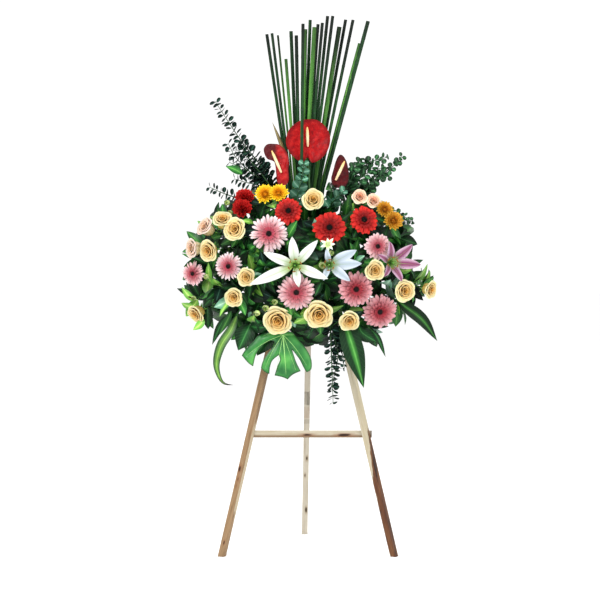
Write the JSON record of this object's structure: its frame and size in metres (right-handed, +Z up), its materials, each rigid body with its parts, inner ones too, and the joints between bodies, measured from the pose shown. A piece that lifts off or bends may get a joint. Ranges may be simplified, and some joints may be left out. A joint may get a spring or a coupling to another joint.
{
  "type": "standing funeral spray",
  "caption": "Standing flower spray on a folding wooden tripod: tall reeds, anthuriums, gerberas, roses, lilies and leaves fan out from a tray of wet foam held on the front legs.",
  "frame": {"origin": "on the floor, below the middle of the whole spray's box", "axes": "+Z up; -Y is the front, where the blooms face; +X is to the right as seen from the front"},
  "size_m": [0.723, 0.532, 1.5015],
  "materials": {
    "pine": "bare sawn softwood, with bark left on some faces",
    "steel": "zinc-plated bracket and bolt",
    "tray": "dark green moulded tray",
    "wet_foam": "floral foam soaked with water",
    "petal_white": "soft matt petals, green at the throat",
    "petal_magenta": "soft matt petals with pale edges",
    "petal_pink": "soft matt petals, paler at their tips",
    "petal_red": "soft matt petals with a black eye",
    "petal_dark_red": "soft matt ruffled petals",
    "petal_yellow": "soft matt petals, orange in the middle",
    "petal_cream": "soft matt petals, golden in the middle",
    "spathe_red": "glossy waxy sheet",
    "spadix_cream": "fine bumpy skin",
    "reed_green": "ribbed waxy stems with dark joints",
    "leaf_blue_green": "waxy leaves with a pale bloom",
    "leaf_green": "waxy leaves and stems"
  },
  "bodies": {
    "stand_and_flowers": {"leg_left": "pine", "leg_right": "pine", "crossbar": "pine", "shelf_rail": "pine", "hinge_bracket": "steel", "pivot_bolt": "steel", "foam_tray": "tray", "foam_block": "wet_foam", "lilies_white": "petal_white", "lily_stargazer": "petal_magenta", "gerbera_pink_1": "petal_pink", "gerbera_pink_2": "petal_pink", "gerbera_pink_3": "petal_pink", "gerbera_pink_4": "petal_pink", "gerbera_pink_5": "petal_pink", "gerbera_pink_6": "petal_pink", "gerbera_pink_7": "petal_pink", "gerbera_red_1": "petal_red", "gerbera_red_2": "petal_red", "gerbera_red_3": "petal_red", "carnations_red": "petal_dark_red", "chrysanthemums_left": "petal_yellow", "chrysanthemums_right": "petal_yellow", "rose_top": "petal_cream", "roses_left_high": "petal_cream", "roses_left": "petal_cream", "rose_left_1": "petal_cream", "rose_left_2": "petal_cream", "rose_left_3": "petal_cream", "rose_front_1": "petal_cream", "rose_front_2": "petal_cream", "rose_front_3": "petal_cream", "rose_right_1": "petal_cream", "rose_right_2": "petal_cream", "rose_right_3": "petal_cream", "roses_right_high": "petal_cream", "anthurium_centre": "spathe_red", "spadix_centre": "spadix_cream", "anthurium_left": "spathe_red", "spadix_left": "spadix_cream", "anthurium_right": "spathe_red", "spadix_right": "spadix_cream", "reeds_left": "reed_green", "reeds_centre": "reed_green", "reeds_right": "reed_green", "eucalyptus_left": "leaf_blue_green", "eucalyptus_right": "leaf_blue_green", "eucalyptus_centre": "leaf_blue_green", "eucalyptus_hanging": "leaf_blue_green", "monstera_leaf": "leaf_green", "stems_top_left": "leaf_green", "stems_top": "leaf_green", "stems_top_right": "leaf_green", "stems_left": "leaf_green", "stems_low_left": "leaf_green", "stems_right": "leaf_green", "stems_low_right": "leaf_green", "stems_front": "leaf_green", "stems_low": "leaf_green"},
    "rear_leg": {"leg_rear": "pine"}
  },
  "joints": [
    {"name": "rear_leg_fold", "type": "hinge", "parent": "stand_and_flowers", "child": "rear_leg", "pos_m": [0.0125, 0.08004, 0.985], "axis": [1, 0, 0], "range_deg": [-20.5, 0]}
  ]
}
